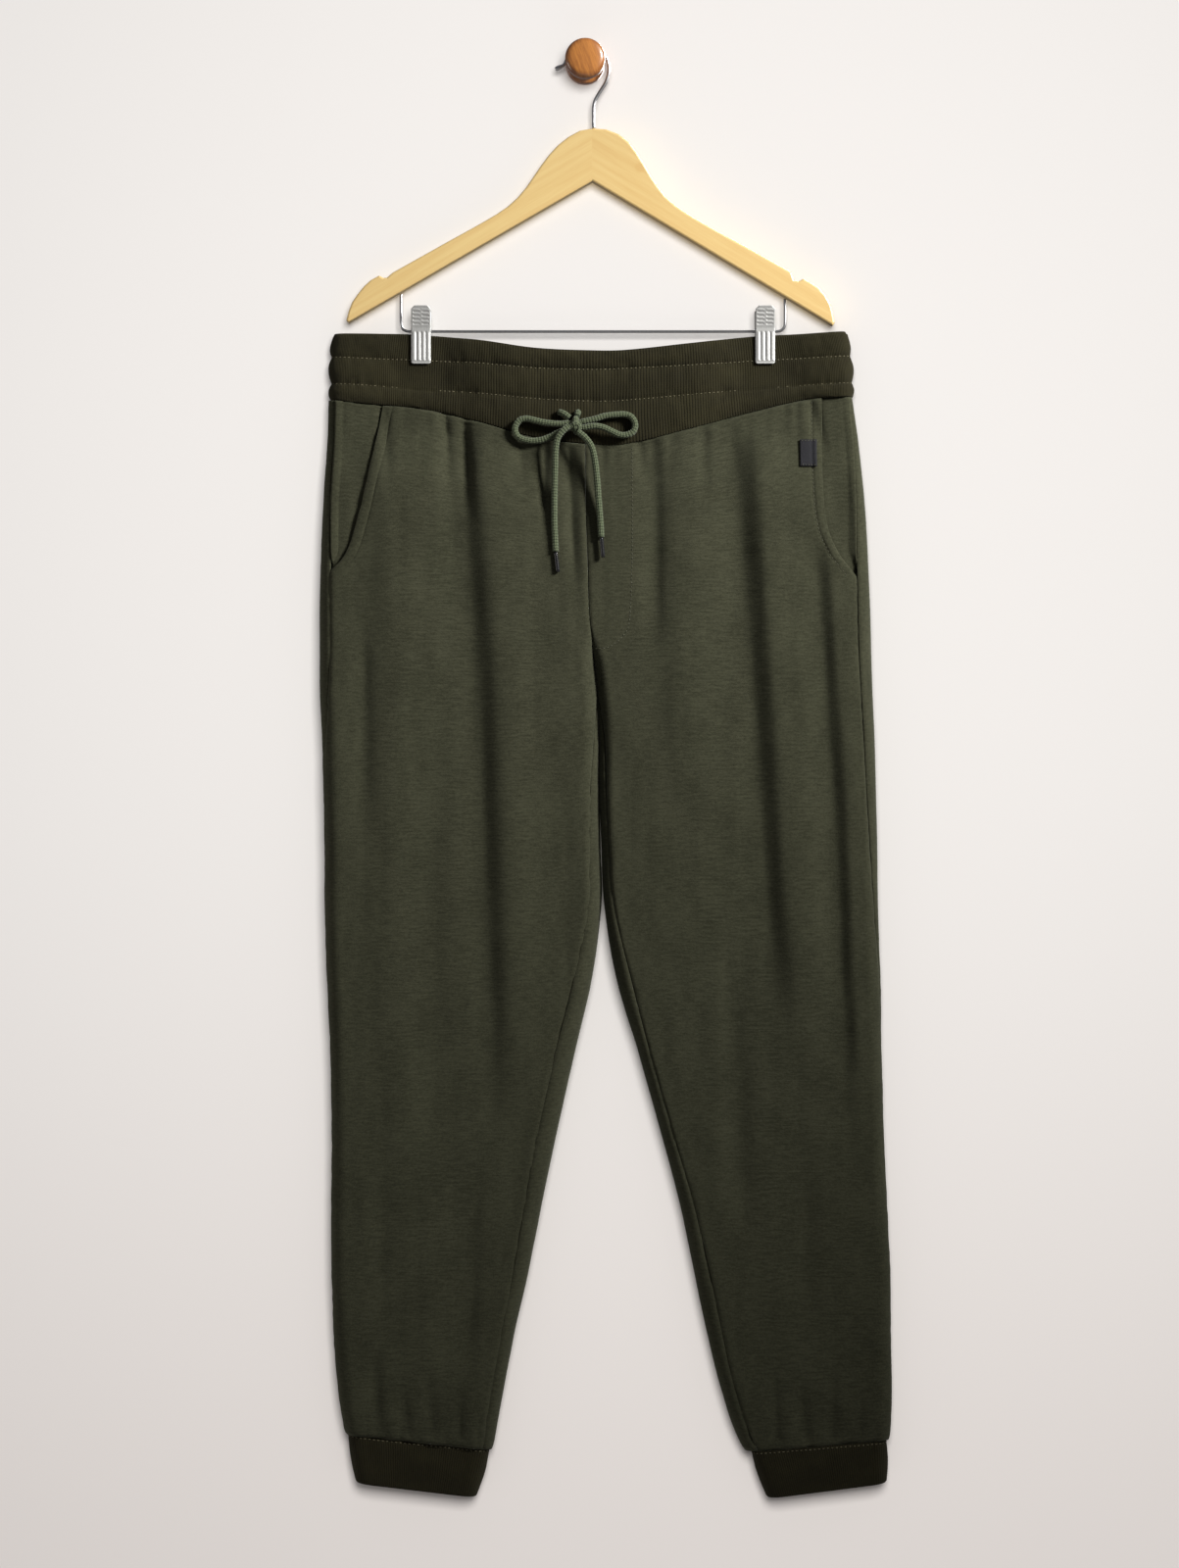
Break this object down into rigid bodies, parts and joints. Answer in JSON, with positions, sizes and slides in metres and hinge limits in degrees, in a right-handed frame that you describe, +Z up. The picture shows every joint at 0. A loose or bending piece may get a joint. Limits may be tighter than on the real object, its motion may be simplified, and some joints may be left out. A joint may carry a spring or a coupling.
{
  "type": "jogger sweatpants on a clip hanger",
  "caption": "Jogger sweatpants with a ribbed waistband, tied drawcord, side pockets and ribbed cuffs, clipped to a wooden hanger on a round wall knob.",
  "frame": {"origin": "middle of the wall knob's flat back, on the wall", "axes": "+Z up, +Y into the wall, so the front of the garment faces -Y; +X is the wearer's left"},
  "size_m": [0.5181, 0.0454, 1.3262],
  "materials": {
    "fleece": "matt brushed fleece, dark army green",
    "rib": "matt ribbed knit, dark brownish green",
    "cord": "matt braided cord, light sage green",
    "tip": "glossy, near black",
    "label": "matt woven, near black",
    "maple": "satin varnish, pale yellow",
    "brown_wood": "gloss varnish, warm brown",
    "clip": "satin, pale grey",
    "steel": "bright"
  },
  "bodies": {
    "root": {"front_R_upper": "fleece", "front_R_lower": "fleece", "front_L_upper": "fleece", "front_L_lower": "fleece", "back_R_upper": "fleece", "back_R_lower": "fleece", "back_L_upper": "fleece", "back_L_lower": "fleece", "pocket_facing_R": "fleece", "pocket_facing_L": "fleece", "waistband": "rib", "cuff_R": "rib", "cuff_L": "rib", "label": "label", "cord_entry_R": "cord", "cord_entry_L": "cord", "cord_loop_R": "cord", "cord_loop_L": "cord", "cord_tail_R": "cord", "cord_tail_L": "cord", "cord_knot": "cord", "aglet_R": "tip", "aglet_L": "tip", "hanger_wood": "maple", "hanger_hook": "steel", "hanger_bar": "steel", "clip_R_front": "clip", "clip_R_back": "clip", "clip_R_pivot": "clip", "clip_L_front": "clip", "clip_L_back": "clip", "clip_L_pivot": "clip", "wall_knob": "brown_wood"}
  },
  "joints": []
}
